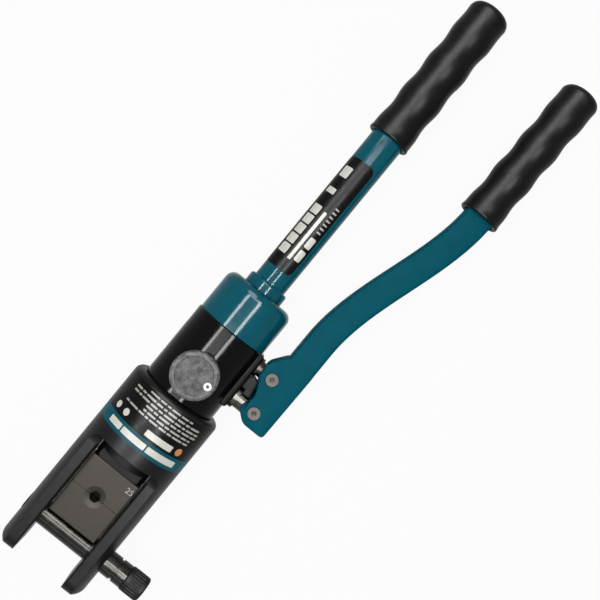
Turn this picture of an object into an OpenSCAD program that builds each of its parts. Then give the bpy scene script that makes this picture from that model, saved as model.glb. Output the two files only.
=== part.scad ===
// Hand-pumped hydraulic crimping tool with a forked head, a latch pin and split hexagon dies.
// The origin is the centre of the crimping nest. +Y runs along the ram's axis towards the
// fixed handle, +X points to the pump lever and +Z is the nest's axis, out of the front face.
// All lengths are in millimetres.

/* [Head] */
// Width of each fork arm beside the die slot, which sets the diameter of the turned head
arm_w = 12.6; // [11:0.1:16]
// Depth of the two fork arms, front to back
arm_depth = 36; // [30:1:40]
// Length of the fork arms past the latch pin's axis
tip_len = 25.5; // [22:0.1:36]
// Turned corner radius at the tips of the fork arms
tip_r = 5; // [3:0.5:8]
// Corner radius of the tips, seen from the side
tip_side_r = 9; // [5:0.5:15]
// Space between the back of the upper die and the collar's front face
throat_len = 13.6; // [12:0.2:20]
// Fillet where the milled arm flats run out into the collar
runout_r = 7; // [2:0.5:8]
// Length of the collar behind the throat
collar_len = 44.5; // [44:0.1:56]
// Corner radius at the collar's rear edge
collar_edge_r = 4; // [1:0.5:6]
// Chamfer along the inner edges of the fork arms
arm_chamfer = 1.2; // [0.4:0.1:2]

/* [Dies] */
// Width of a die half between the fork arms
die_w = 35.4; // [35:0.1:36]
// Height of the upper die half along the ram's axis
upper_die_h = 20.9; // [18:0.1:24]
// Height of the lower die half along the ram's axis
lower_die_h = 22.6; // [19:0.1:26]
// Thickness of a die half along the nest's axis
die_t = 22; // [16:0.5:26]
// Width across the flats of the closed hexagon nest
nest_af = 6; // [5:0.5:12]
// Countersink diameter at the nest's mouth
nest_mouth_d = 13.5; // [12:0.5:20]
// Depth of the countersink at the nest's mouth
nest_mouth_depth = 1.2; // [0.8:0.1:4]
// Gap between a die and each fork arm
die_side_gap = 0.7; // [0.4:0.1:1]
// Gap left between the closed die halves
die_gap = 0.2; // [0.1:0.05:0.6]
// Edge chamfer of the dies
die_bevel = 0.8; // [0.3:0.1:1.5]

/* [Latch pin] */
// Diameter of the latch pin
pin_d = 15.5; // [13:0.5:16]
// Depth of the saddle that the lower die sits on the pin with
saddle_depth = 0.7; // [0.3:0.1:1.5]
// Plain length of the pin between the fork arm and the pull knob
pin_neck_len = 15; // [10:0.5:22]
// Diameter of the pull knob
pull_d = 16.4; // [15:0.2:22]
// Length of the pull knob
pull_len = 14; // [10:0.5:20]
// Number of grip flutes round the pull knob
pull_flutes = 24; // [12:1:30]

/* [Ram] */
// Diameter of the ram
ram_d = 36; // [34:0.5:36]
// Working stroke of the ram
ram_stroke = 13; // [10:0.5:14]
// Thickness of the ram's rear wall
ram_wall = 5; // [4:0.5:6]
// Diameter of the spring chamber in the ram
ram_bore_d = 25; // [23:0.5:26]
// Thickness of the die holder that closes the ram's front
holder_t = 6; // [5:0.5:8]
// Diameter of the stub that locates the upper die
stub_d = 12; // [10:0.5:14]

/* [Pump body] */
// Diameter of the pump body
body_d = 50; // [48:0.5:54]
// Distance from the plunger's axis to the rear face of the pump body
plunger_margin = 7.9; // [7.7:0.1:12]
// Depth of the screwed joint between the pump body and the collar
joint_len = 10.6; // [8:0.2:14]
// Diameter of the screwed joint between the pump body and the collar
joint_d = 46; // [45:0.5:47]
// Front-to-back thickness of the pump boss
boss_t = 22; // [18:1:28]
// How far the pump boss stands out of the pump body
boss_stand = 1.6; // [1.4:0.1:2]

/* [Reservoir] */
// Diameter of the rear cap
cap_d = 48.2; // [46:0.2:52]
// Length of the rear cap
cap_len = 29.4; // [27:0.2:36]
// Shoulder radius of the rear cap
cap_r = 6; // [2:0.2:7]
// Diameter of the spigot that the rear cap screws onto
spigot_d = 40; // [38:0.5:42]
// Length of the spigot that the rear cap screws onto
spigot_len = 14; // [12:0.5:16]
// Diameter of the handle tube
tube_d = 22; // [20:0.5:24]
// Wall of the handle tube
tube_wall = 2; // [1.5:0.1:2.5]
// Wall of the ring where the handle tube enters the cap
ring_wall = 2.5; // [1.5:0.1:4]
// Length of the ring where the handle tube enters the cap
ring_len = 7.2; // [6:0.2:12]

/* [Grips] */
// Free length of the handle tube between its ring and the grip
tube_free_len = 114.2; // [100:0.2:140]
// Rubber round the handle tube at the thickest part of the handle grip
grip_wall = 2.9; // [2.3:0.1:5]
// Length of the handle grip
grip_len = 105.6; // [96:0.2:120]
// Largest diameter of the lever grip
lever_grip_d = 26.6; // [25.6:0.2:30]
// Length of the lever grip
lever_grip_len = 103.4; // [90:0.2:120]
// Distance from one finger wave to the next
wave_pitch = 24.8; // [20:0.2:26]
// Depth of the finger waves
wave_depth = 1.1; // [0.5:0.1:1.6]

/* [Lever] */
// Fulcrum pin's distance from the face of the pump boss
fulcrum_stand = 16; // [15.8:0.1:16.4]
// Plunger pin's distance from the face of the pump boss
plunger_stand = 11.6; // [11.4:0.1:12]
// Distance along the tool from the fulcrum pin to the plunger pin
pin_spacing = 22.7; // [22.4:0.1:24]
// Diameter of the two lever pins
lever_pin_d = 8; // [7:0.2:9]
// Thickness of the lever at its cheeks
lever_t = 20; // [19:0.5:24]
// Gap between the lever's cheeks
cheek_gap = 13.4; // [13.4:0.1:14]
// Width of the lever's arm
lever_w = 18.6; // [16:0.2:20]
// Thickness of the lever's arm where it enters the grip
lever_end_t = 14; // [12:0.5:14.5]
// Edge radius of the lever
lever_edge_r = 2.2; // [1:0.1:2.6]
// How far the arm bends outwards
bend_out = 26.5; // [20:0.5:34]
// Length of the bend along the tool
bend_len = 126; // [110:1:140]

/* [Release knob] */
// Diameter of the release knob
knob_d = 29.5; // [26:0.5:32]
// Thickness of the release knob
knob_t = 7.2; // [5:0.2:9]
// Distance of the knob's axis from the collar's rear face
knob_setback = 18.6; // [16:0.2:19]
// Diameter of the release spindle
spindle_d = 8; // [6:0.2:9]

/* [Hidden] */
$fn = 96;
// Running clearance of pins and shafts, on the radius
run_clear = 0.05;
// Gap between pieces that slide or turn past each other
slide_gap = 0.3;
// Overrun of a cut past the face it opens
over = 1;
// Facets in fillets, corners, seals, finger waves and coils, and the sides of a hexagon
fillet_steps = 6;
corner_steps = 3;
seal_steps = 24;
wave_steps = 10;
coil_steps = 10;
coil_sides = 6;
hex_sides = 6;
// Inset and height of a rounded edge's points, as shares of its radius
edge_shares = [[1, 0], [0.293, 0.293], [0, 1]];

// Places along the ram's axis
slot_w = die_w + 2 * die_side_gap;
head_d = slot_w + 2 * arm_w;
pin_y = saddle_depth - lower_die_h - pin_d / 2;
tip_y = pin_y - tip_len;
collar_front_y = upper_die_h + throat_len;
collar_rear_y = collar_front_y + collar_len;
body_front_y = collar_rear_y - joint_len;
knob_y = collar_rear_y + knob_setback;
fulcrum_setback = 2;
fulcrum_y = knob_y + fulcrum_setback;
plunger_y = fulcrum_y + pin_spacing;
cap_front_y = plunger_y + plunger_margin;
spigot_rear_y = cap_front_y + spigot_len;
cap_rear_y = cap_front_y + cap_len;
ring_rear_y = cap_rear_y + ring_len;
grip_front_y = ring_rear_y + tube_free_len;
grip_rear_y = grip_front_y + grip_len;

// Ram group, from the die holder's front to the ram's rear face
holder_front_y = upper_die_h;
ram_front_y = holder_front_y + holder_t;
ram_rear_y = body_front_y - ram_stroke;
stub_gap = 1;
stub_len = holder_t - stub_gap;
holder_chamfer = 1;
holder_flat_gap = 0.5;
holder_w = die_t - 2 * holder_flat_gap;
die_screw_d = 3.9;
die_screw_recess = 1;
skirt_len = 5.8;
skirt_wall = 3.4;
bolt_head_d = 13;
bolt_head_t = 3.5;
bolt_d = 8;
bolt_thread_len = 10;
bolt_head_gap = 0.4;
bolt_head_y = ram_front_y + ram_stroke + bolt_head_gap;
ram_seal_w = 4;
ram_seal_depth = 3;
guide_w = 4;
guide_depth = 1.6;
seal_land = 2.5;
wiper_w = 3;
wiper_depth = 2.2;
wiper_inset = 2.5;
groove_gap = 0.1;
return_wire = 1.6;
return_mean_d = 14;
return_turns = 2.6;

// Pump group, on an axis across the body through the plunger pin
boss_reach = body_d / 2 + boss_stand;
fulcrum_x = boss_reach + fulcrum_stand;
plunger_pin_x = boss_reach + plunger_stand;
plunger_d = 10;
plunger_end_x = 4;
chamber_end_x = 1.5;
plunger_eye_d = 15.5;
eye_side_gap = 0.4;
eye_t = cheek_gap - 2 * eye_side_gap;
eye_play = 2.1;
eye_shift = 0.6;
gland_d = 12.8;
gland_thread_d = 12;
gland_thread_len = 4;
gland_head_len = 1.6;
plunger_seal_len = 3.6;
stud_d = 12;
stud_collar_d = 15;
stud_collar_len = 2.6;
stud_thread_len = 13;
stud_eye_d = 15;
nose_stand = 10.2;
nose_gap = 0.4;
nose_wrap = 1.2;
nose_slope_len = 3.2;
nose_slope_rise = 2.4;
nose_eye_gap = 1.3;
nose_r = 0.6;
boss_margin = 1;
boss_front_y = fulcrum_y - stud_collar_d / 2 - boss_margin;
boss_edge_r = 3;
boss_round = 3.4;
body_chamfer = 0.5;

// Valves
valve_d = 8;
valve_ball_d = 6;
valve_port_d = 3;
valve_wire = 0.7;
outlet_seat_depth = 3;
outlet_seat_x = -outlet_seat_depth;
outlet_plug_len = 7;
outlet_plug_d = 10;
inlet_x = 11;
relief_x = -inlet_x;
relief_screw_len = 6;
relief_socket_d = 4;
outlet_turns = 3;
inlet_turns = 1.5;
relief_turns = 2;
inlet_ball_y = plunger_y + plunger_d / 2 + valve_port_d + valve_ball_d / 2;
relief_ball_y = plunger_y + outlet_plug_d / 2 + 3 * valve_port_d / 2 + valve_ball_d / 2;
socket_d = 5;
socket_depth = 3;

// Release valve, on an axis through the front of the body
knob_boss_d = 22;
knob_boss_rise = 0.6;
knob_boss_z = body_d / 2 + knob_boss_rise;
knob_z = knob_boss_z + slide_gap;
knob_rim_w = 3;
knob_dish = 0.8;
knob_flutes = 48;
knob_flute_d = 1;
hub_depth = 3.4;
spindle_tip_z = 8;
spindle_groove_z = 14;
spindle_ring_w = 1.8;
spindle_ring_depth = 1;
release_ball_d = 5;
marker_d = 4.8;
marker_hole_d = 2;
marker_depth = 1;
marker_proud = 0.3;
marker_x = 10;

// Reservoir group
ring_d = tube_d + 2 * ring_wall;
grip_d = tube_d + 2 * grip_wall;
cap_chamfer = 0.25;
cap_cavity_d = 36;
cap_neck_len = 7;
tube_front_y = cap_rear_y - cap_neck_len;
plug_flange_t = 2;
plug_len = 8;
grip_end_wall = 11;
tube_rear_y = grip_rear_y - grip_end_wall - plug_flange_t;
vent_d = 3;
bladder_d = tube_d - 2 * tube_wall - 2 * slide_gap;
bladder_wall = 1.2;
bladder_len = 170;
bladder_setback = 2;
bladder_front_y = tube_front_y + bladder_setback;
ferrule_flange_t = 2.4;
ferrule_len = 14;
ferrule_bore_d = 8;
seal_w = 2;
seal_gap = 0.1;
face_seal_d = 41;
cap_seal_setback = 5;

// Latch pin group
pin_reach = head_d / 2;
pin_groove_w = 1.6;
pin_groove_depth = 0.9;
pin_groove_inset = 6.5;
pin_chamfer = 1.5;
pull_hub_d = 9;
pull_hub_len = 8;
pull_edge_r = 1.6;
flute_d = 1.6;
detent_shift = 2;
detent_x = (slot_w + arm_w) / 2 - detent_shift;
detent_d = 3.2;
detent_wire = 0.5;
detent_turns = 2;
detent_screw_len = 2.6;
detent_screw_d = 4.4;

// Lever group, measured from the fulcrum pin
lever_pins = [[fulcrum_x, fulcrum_y], [plunger_pin_x, plunger_y]];
lever_back = 13.5;
heel_drop = 9.1;
cheek_reach = 9.2;
notch_reach = 7.2;
lobe_reach = 12.4;
lobe_rise = 7.4;
web_t = 4;
arm_root_rise = 41;
slot_rise = 36;
corner_r = 2.6;
arm_shift = 4.9;
heel_share = 0.2;
lobe_share = 0.4;
notch_share = 0.4;
toe_share = 1 / 3;
bend_setback = 57.4;
bend_start_y = fulcrum_y + bend_setback;
arm_root_setback = 32;
arm_root_y = fulcrum_y + arm_root_setback;
arm_end_y = bend_start_y + bend_len;
arm_steps = 26;
tang_d = 15;
tang_end_gap = 16;
arm_overlap = 3;
lever_grip_y = arm_end_y - arm_overlap;
lever_grip_angle = -1.2;
mouth_depth = 6;
mouth_gap = 0.4;
end_r = 5;
end_crown = 0.8;
flange_h = 4;
flange_out = 0.4;
flange_r = 1;
plain_len = 7.8;
pin_proud = 0.8;
pin_tail = 2.2;
dimple_d = 3.6;
dimple_depth = 1;
circlip_d = 12;
circlip_t = 1;
circlip_depth = 0.5;
circlip_mouth_share = 1 / 3;

// Shared shapes

// Turns a shape that stands on Z so that it runs along +Y from y, or along +X from x
module along_y(y, x = 0, z = 0) translate([x, y, z]) rotate([-90, 0, 0]) children();
module along_x(x, y, z = 0) translate([x, y, z]) rotate([0, 90, 0]) children();

// Points of an arc from angle a0 to a1
function arc(centre, r, a0, a1, steps = fillet_steps) =
    [for (i = [0:steps]) let (a = a0 + (a1 - a0) * i / steps) centre + r * [cos(a), sin(a)]];

// A plain ring about Z, from z0 to z1
module ring(d_out, d_in, z0, z1)
    rotate_extrude() translate([d_in / 2, z0]) square([(d_out - d_in) / 2, z1 - z0]);

// Joins rings of equal point count into one closed solid; a ring runs counter-clockwise
// when seen from the last one
module skin(rings) {
    n = len(rings[0]);
    m = len(rings);
    sides = [for (i = [0:m - 2]) for (j = [0:n - 1])
             let (a = i * n + j, b = i * n + (j + 1) % n) each [[a, a + n, b + n], [a, b + n, b]]];
    caps = [[for (j = [0:n - 1]) j], [for (j = [n - 1:-1:0]) (m - 1) * n + j]];
    polyhedron([for (r = rings) each r], concat(sides, caps));
}

// A rectangle a by b with rounded corners, as counter-clockwise points
function rounded_rect(a, b, r) =
    [for (k = [0:3]) let (s = [[1, 1], [-1, 1], [-1, -1], [1, -1]][k])
     each arc([s.x * (a / 2 - r), s.y * (b / 2 - r)], r, 90 * k, 90 * k + 90, corner_steps)];

// An outline moved inwards by d, and an outline with its corners rounded
function unit(v) = v / norm(v);
function inward(p, q) = unit([p.y - q.y, q.x - p.x]);
function inset(points, d) =
    [for (i = [0:len(points) - 1])
     let (n = len(points), a = inward(points[(i + n - 1) % n], points[i]),
          b = inward(points[i], points[(i + 1) % n]))
     points[i] + d * (a + b) / (1 + a * b)];
function rounded(points, r) =
    [for (i = [0:len(points) - 1])
     let (n = len(points), p = points[i], a = r * unit(points[(i + n - 1) % n] - p),
          b = r * unit(points[(i + 1) % n] - p))
     for (k = [0:corner_steps]) let (t = k / corner_steps) p + a * (1 - t) * (1 - t) + b * t * t];

// A flat plate about Z = 0 with rounded edges
module soft_plate(outline, t, r) {
    lower = [for (e = edge_shares) [e[0] * r, e[1] * r - t / 2]];
    upper = [for (i = [len(lower) - 1:-1:0]) [lower[i][0], -lower[i][1]]];
    skin([for (l = concat(lower, upper)) [for (p = inset(outline, l[0])) [p.x, p.y, l[1]]]]);
}

// A coil about Z that rests between z = 0 and z = length
module coil(mean_d, wire, length, turns) {
    climb = length - wire;
    steps = ceil(turns * coil_steps);
    skin([for (i = [0:steps]) let (a = 360 * turns * i / steps, z = wire / 2 + climb * i / steps)
          [for (k = [0:coil_sides - 1])
           let (b = 360 * k / coil_sides, r = mean_d / 2 + wire / 2 * sin(b))
           [r * cos(a), r * sin(a), z + wire / 2 * cos(b)]]]);
}

// Fork head and what sits in it

// The bar as it comes off the lathe
module turned_bar() {
    r = head_d / 2;
    along_y(0) rotate_extrude() polygon(concat(
        [[0, tip_y]],
        arc([r - tip_r, tip_y + tip_r], tip_r, -90, 0),
        arc([r - collar_edge_r, collar_rear_y - collar_edge_r], collar_edge_r, 0, 90),
        [[0, collar_rear_y]]));
}

// Side view of the milled fork, in Y and Z, drawn through the whole width
module fork_side_cut() {
    h = arm_depth / 2;
    upper = concat(
        [[tip_y, 0]],
        arc([tip_y + tip_side_r, h - tip_side_r], tip_side_r, 180, 90, 2 * fillet_steps),
        arc([collar_front_y - runout_r, h + runout_r], runout_r, -90, 0),
        [[collar_front_y, head_d], [collar_rear_y + over, head_d]]);
    lower = [for (i = [len(upper) - 1:-1:1]) [upper[i].x, -upper[i].y]];
    translate([-head_d, 0, 0]) rotate([90, 0, 90])
        linear_extrude(2 * head_d) polygon(concat(upper, lower));
}

// Chamfers along the inner edges of the arms and across their tips
module arm_edge_cuts() {
    c = arm_chamfer * sqrt(2);
    for (sx = [-1, 1]) {
        for (sz = [-1, 1])
            translate([sx * slot_w / 2, (tip_y + collar_front_y - runout_r) / 2, sz * arm_depth / 2])
                rotate([0, 45, 0]) cube([c, collar_front_y - runout_r - tip_y + over, c], center = true);
        translate([sx * slot_w / 2, tip_y, 0])
            rotate([0, 0, 45]) cube([c, c, arm_depth], center = true);
    }
}

module fork_head() color("#1d1d1f") difference() {
    intersection() {
        turned_bar();
        fork_side_cut();
    }
    translate([-slot_w / 2, tip_y - over, -head_d])
        cube([slot_w, collar_front_y - tip_y + over, 2 * head_d]);
    arm_edge_cuts();
    along_y(0) cylinder(d = ram_d + 2 * run_clear, h = collar_rear_y + over);
    along_y(body_front_y) cylinder(d = joint_d + 2 * run_clear, h = joint_len + over);
    along_y(collar_front_y + wiper_inset) cylinder(d = ram_d + 2 * wiper_depth, h = wiper_w);
    along_x(-head_d, pin_y) cylinder(d = pin_d + 2 * run_clear, h = 2 * head_d);
    translate([detent_x, pin_y, -head_d]) cylinder(d = detent_d + 2 * run_clear, h = head_d);
    translate([detent_x, pin_y, -head_d])
        cylinder(d = detent_screw_d, h = head_d - arm_depth / 2 + detent_screw_len);
}

module wiper_ring() color("#2b2b2b") along_y(collar_front_y + wiper_inset + groove_gap)
    ring(ram_d + 2 * (wiper_depth - groove_gap), ram_d + 4 * run_clear, 0, wiper_w - 2 * groove_gap);

module detent_ball() color("silver")
    translate([detent_x, pin_y, -pin_d / 2 - run_clear - detent_d / 2]) sphere(d = detent_d);

module detent_spring() color("silver") {
    top = -pin_d / 2 - run_clear - detent_d;
    bottom = detent_screw_len - arm_depth / 2;
    translate([detent_x, pin_y, bottom])
        coil(detent_d - 2 * detent_wire, detent_wire, top - bottom, detent_turns);
}

module detent_screw() color("dimgray") translate([detent_x, pin_y, -arm_depth / 2]) difference() {
    cylinder(d = detent_screw_d, h = detent_screw_len);
    translate([0, 0, -over])
        cylinder(d = detent_screw_d / 2, h = detent_screw_len / 2 + over, $fn = hex_sides);
}

// Dies

// The closed hexagon nest with its countersunk mouths, as a cutter
module nest_cut() {
    mouth_r = nest_mouth_d / 2;
    throat_r = nest_af / 2;
    slope = (mouth_r - throat_r) / nest_mouth_depth;
    cylinder(d = nest_af / cos(180 / hex_sides), h = die_t + 2 * over, center = true, $fn = hex_sides);
    for (s = [0, 1]) mirror([0, 0, s]) translate([0, 0, die_t / 2 - nest_mouth_depth])
        cylinder(r1 = throat_r, r2 = mouth_r + slope * over, h = nest_mouth_depth + over);
}

// Both die halves as one block with rounded edges, bored with the nest before it is split
module die_block() difference() {
    outline = [[-die_w / 2, -lower_die_h], [die_w / 2, -lower_die_h],
               [die_w / 2, upper_die_h], [-die_w / 2, upper_die_h]];
    soft_plate(outline, die_t, die_bevel);
    nest_cut();
}

// All of the block from y0 to y1, as a cutter that leaves one half
module split_cut(y0, y1) translate([-die_w, y0, -die_t]) cube([2 * die_w, y1 - y0, 2 * die_t]);

module lower_die() color("#4d4a45") difference() {
    die_block();
    split_cut(-die_gap / 2, upper_die_h + over);
    along_x(-die_w, pin_y) cylinder(d = pin_d + 4 * run_clear, h = 2 * die_w);
}

module upper_die() color("#4d4a45") {
    difference() {
        die_block();
        split_cut(-lower_die_h - over, die_gap / 2);
    }
    along_y(upper_die_h) cylinder(d = stub_d, h = stub_len);
}

// Latch pin

module latch_pin() color("#2a2a2c") along_x(0, pin_y) {
    r = pin_d / 2;
    end = pin_reach + pin_neck_len;
    groove = end - pin_groove_inset;
    rotate_extrude() polygon([
        [0, -pin_reach], [r - pin_chamfer, -pin_reach], [r, -pin_reach + pin_chamfer],
        [r, groove - pin_groove_w], [r - pin_groove_depth, groove - pin_groove_w],
        [r - pin_groove_depth, groove], [r, groove], [r, end], [pull_hub_d / 2, end],
        [pull_hub_d / 2, end + pull_hub_len], [0, end + pull_hub_len]]);
}

module pull_knob() color("#29292b") along_x(pin_reach + pin_neck_len, pin_y) difference() {
    r = pull_d / 2;
    e = pull_edge_r;
    rotate_extrude() polygon(concat(
        [[0, 0]], arc([r - e, e], e, -90, 0), arc([r - e, pull_len - e], e, 0, 90), [[0, pull_len]]));
    translate([0, 0, -over]) cylinder(d = pull_hub_d + 2 * run_clear, h = pull_hub_len + over + run_clear);
    for (k = [0:pull_flutes - 1]) rotate(360 * k / pull_flutes)
        translate([r + flute_d / 4, 0, 2 * e]) cylinder(d = flute_d, h = pull_len - 4 * e);
}

// Ram

module ram() color("#3a3a3c") along_y(0) difference() {
    rotate_extrude() translate([0, ram_front_y]) square([ram_d / 2, ram_rear_y - ram_front_y]);
    translate([0, 0, ram_front_y - over])
        cylinder(d = ram_bore_d, h = ram_rear_y - ram_wall - ram_front_y + over);
    cylinder(d = bolt_d + 2 * slide_gap, h = ram_rear_y + over);
    ring(ram_d + over, ram_d - 2 * ram_seal_depth, ram_rear_y - seal_land - ram_seal_w,
         ram_rear_y - seal_land);
    ring(ram_d + over, ram_d - 2 * guide_depth, ram_rear_y - 2 * seal_land - ram_seal_w - guide_w,
         ram_rear_y - 2 * seal_land - ram_seal_w);
}

module ram_seal() color("#2f5d3a") along_y(0)
    ring(ram_d, ram_d - 2 * (ram_seal_depth - groove_gap),
         ram_rear_y - seal_land - ram_seal_w + groove_gap, ram_rear_y - seal_land - groove_gap);

module guide_ring() color("#6d5a3c") along_y(0)
    ring(ram_d, ram_d - 2 * (guide_depth - groove_gap),
         ram_rear_y - 2 * seal_land - ram_seal_w - guide_w + groove_gap,
         ram_rear_y - 2 * seal_land - ram_seal_w - groove_gap);

module die_holder() color("#242426") difference() {
    along_y(0) union() {
        intersection() {
            rotate_extrude() polygon([
                [0, holder_front_y], [ram_d / 2 - holder_chamfer, holder_front_y],
                [ram_d / 2, holder_front_y + holder_chamfer], [ram_d / 2, ram_front_y], [0, ram_front_y]]);
            // Flats milled level with the dies
            translate([-ram_d, -holder_w / 2, 0]) cube([2 * ram_d, holder_w, ram_front_y + over]);
        }
        ring(ram_bore_d - 2 * run_clear, ram_bore_d - 2 * skirt_wall, ram_front_y, ram_front_y + skirt_len);
    }
    along_y(holder_front_y - over) cylinder(d = stub_d + 2 * run_clear, h = stub_len + over + run_clear);
    translate([0, holder_front_y + holder_t / 2, -ram_d / 2])
        cylinder(d = die_screw_d + 2 * run_clear, h = ram_d / 2);
}

module die_screw() color("dimgray") {
    z0 = die_screw_recess - holder_w / 2;
    translate([0, holder_front_y + holder_t / 2, z0]) difference() {
        cylinder(d = die_screw_d, h = -z0 - stub_d / 2 - run_clear);
        translate([0, 0, -over])
            cylinder(d = die_screw_d / 2, h = socket_depth / 2 + over, $fn = hex_sides);
    }
}

module return_bolt() color("#8a8a8c") along_y(0) difference() {
    union() {
        translate([0, 0, bolt_head_y]) cylinder(d = bolt_head_d, h = bolt_head_t);
        translate([0, 0, bolt_head_y])
            cylinder(d = bolt_d, h = body_front_y + bolt_thread_len - bolt_head_y);
    }
    translate([0, 0, bolt_head_y - over]) cylinder(d = socket_d, h = bolt_head_t, $fn = hex_sides);
}

module return_spring() color("silver") along_y(bolt_head_y + bolt_head_t)
    coil(return_mean_d, return_wire, ram_rear_y - ram_wall - bolt_head_y - bolt_head_t, return_turns);

// Pump body and its valves

module boss_block() {
    outline = [[0, boss_front_y], [boss_reach, boss_front_y],
               [boss_reach, cap_front_y], [0, cap_front_y]];
    intersection() {
        soft_plate(rounded(outline, boss_edge_r), boss_t, boss_edge_r / 2);
        along_y(boss_front_y) linear_extrude(cap_front_y - boss_front_y)
            polygon(rounded_rect(2 * boss_reach, boss_t, boss_round));
    }
    linear_extrude(eye_t, center = true) polygon(rounded(nose_outline(), nose_r));
}

// The web that stands out between the stud, which is sunk into it, and the plunger
function nose_outline() =
    let (tip = boss_reach + nose_stand,
         step = boss_reach + stud_collar_len + nose_gap,
         shelf = boss_reach + gland_head_len + nose_gap,
         root = fulcrum_y + stud_collar_d / 2 + nose_gap,
         low = fulcrum_y + stud_d / 2 - nose_wrap,
         high = plunger_y - gland_d / 2 - nose_gap)
    [[0, root], [step, root], [step, low], [tip - nose_slope_len, low],
     [tip, low + nose_slope_rise], [tip, plunger_y - plunger_eye_d / 2 - nose_eye_gap],
     [shelf, plunger_y - plunger_d / 2 - nose_gap], [shelf, high], [0, high]];

module pump_body() color("#161618") difference() {
    union() {
        along_y(0) rotate_extrude() polygon([
            [0, body_front_y], [joint_d / 2, body_front_y], [joint_d / 2, collar_rear_y],
            [body_d / 2 - body_chamfer, collar_rear_y], [body_d / 2, collar_rear_y + body_chamfer],
            [body_d / 2, cap_front_y - body_chamfer], [body_d / 2 - body_chamfer, cap_front_y],
            [spigot_d / 2, cap_front_y], [spigot_d / 2, spigot_rear_y], [0, spigot_rear_y]]);
        boss_block();
        translate([0, knob_y, 0]) cylinder(d = knob_boss_d, h = knob_boss_z);
    }
    // Return bolt's thread and the oil way to the ram
    along_y(body_front_y - over) cylinder(d = bolt_d + 2 * run_clear, h = bolt_thread_len + over);
    along_y(body_front_y - over, relief_x)
        cylinder(d = valve_port_d, h = relief_ball_y - body_front_y + over);
    // Face seal groove
    along_y(0) ring(face_seal_d + seal_w, face_seal_d - seal_w, body_front_y - over,
                    body_front_y + seal_w - seal_gap);
    // Cap seal groove
    along_y(0) ring(spigot_d + over, spigot_d - 2 * seal_w + 4 * seal_gap, cap_front_y + cap_seal_setback,
                    cap_front_y + cap_seal_setback + seal_w + 2 * seal_gap);
    // Plunger bore, gland thread and outlet valve, all on one axis
    along_x(chamber_end_x, plunger_y) cylinder(d = plunger_d + 2 * run_clear, h = body_d);
    along_x(boss_reach - gland_thread_len - plunger_seal_len, plunger_y)
        cylinder(d = gland_thread_d + 2 * run_clear, h = body_d);
    along_x(outlet_seat_x, plunger_y) cylinder(d = valve_port_d, h = body_d / 2);
    along_x(-body_d, plunger_y) cylinder(d = valve_d, h = body_d + outlet_seat_x);
    along_x(-body_d, plunger_y) cylinder(d = outlet_plug_d, h = body_d / 2 + outlet_plug_len);
    // Inlet and relief valves, from the reservoir side
    along_y(plunger_y, inlet_x) cylinder(d = valve_port_d, h = body_d);
    along_y(inlet_ball_y - valve_ball_d / 2 - valve_port_d, inlet_x) cylinder(d = valve_d, h = body_d);
    along_y(relief_ball_y - valve_ball_d / 2, relief_x) cylinder(d = valve_d, h = body_d);
    // Stud thread
    along_x(boss_reach - stud_thread_len, fulcrum_y) cylinder(d = stud_d + 2 * run_clear, h = body_d);
    // Release valve, its port from the ram's oil way and its return to the reservoir
    translate([0, knob_y, spindle_tip_z - release_ball_d])
        cylinder(d = spindle_d + 2 * run_clear, h = body_d);
    translate([0, knob_y, 0]) cylinder(d = valve_port_d, h = body_d / 2);
    along_x(relief_x, knob_y) cylinder(d = valve_port_d, h = -relief_x);
    along_y(knob_y, -valve_port_d, spindle_tip_z - valve_port_d / 2)
        cylinder(d = valve_port_d, h = body_d * 2);
}

module body_seal() color("#222222") along_y(body_front_y + seal_w / 2 - seal_gap / 2)
    rotate_extrude() translate([face_seal_d / 2, 0]) circle(d = seal_w - 2 * seal_gap, $fn = seal_steps);

module cap_seal() color("#222222")
    along_y(cap_front_y + cap_seal_setback + seal_w / 2 + seal_gap)
    rotate_extrude() translate([spigot_d / 2 - seal_w / 2 + seal_gap, 0])
        circle(d = seal_w - 2 * seal_gap, $fn = seal_steps);

module outlet_ball() color("silver")
    translate([outlet_seat_x - valve_ball_d / 2, plunger_y, 0]) sphere(d = valve_ball_d);

module outlet_spring() color("silver") {
    x0 = outlet_plug_len - body_d / 2;
    along_x(x0, plunger_y)
        coil(valve_ball_d - valve_wire, valve_wire, outlet_seat_x - valve_ball_d - x0, outlet_turns);
}

module outlet_plug() color("dimgray") intersection() {
    along_x(-body_d / 2, plunger_y) difference() {
        cylinder(d = outlet_plug_d - 2 * run_clear, h = outlet_plug_len);
        translate([0, 0, -over]) cylinder(d = socket_d, h = socket_depth + over, $fn = hex_sides);
    }
    along_y(collar_rear_y) cylinder(d = body_d - slide_gap, h = cap_front_y - collar_rear_y);
}

module inlet_ball() color("silver") translate([inlet_x, inlet_ball_y, 0]) sphere(d = valve_ball_d);

module inlet_spring() color("silver")
    along_y(inlet_ball_y - valve_ball_d / 2 - valve_port_d, inlet_x)
    coil(valve_ball_d - valve_wire, valve_wire, valve_port_d, inlet_turns);

module inlet_seat() color("#b08d4a") along_y(inlet_ball_y + valve_ball_d / 2, inlet_x)
    ring(valve_d - 2 * run_clear, valve_port_d, 0, spigot_rear_y - inlet_ball_y - valve_ball_d / 2);

module relief_ball() color("silver") translate([relief_x, relief_ball_y, 0]) sphere(d = valve_ball_d);

module relief_spring() color("silver") {
    y0 = relief_ball_y + valve_ball_d / 2;
    along_y(y0, relief_x)
        coil(valve_ball_d - valve_wire, valve_wire, spigot_rear_y - relief_screw_len / 2 - y0,
             relief_turns);
}

module relief_screw() color("#b08d4a")
    along_y(spigot_rear_y - relief_screw_len / 2, relief_x) difference() {
        cylinder(d = valve_d - 2 * run_clear, h = relief_screw_len);
        translate([0, 0, relief_screw_len - socket_depth])
            cylinder(d = relief_socket_d, h = socket_depth + over, $fn = hex_sides);
    }

// Plunger, gland and fulcrum stud

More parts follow.
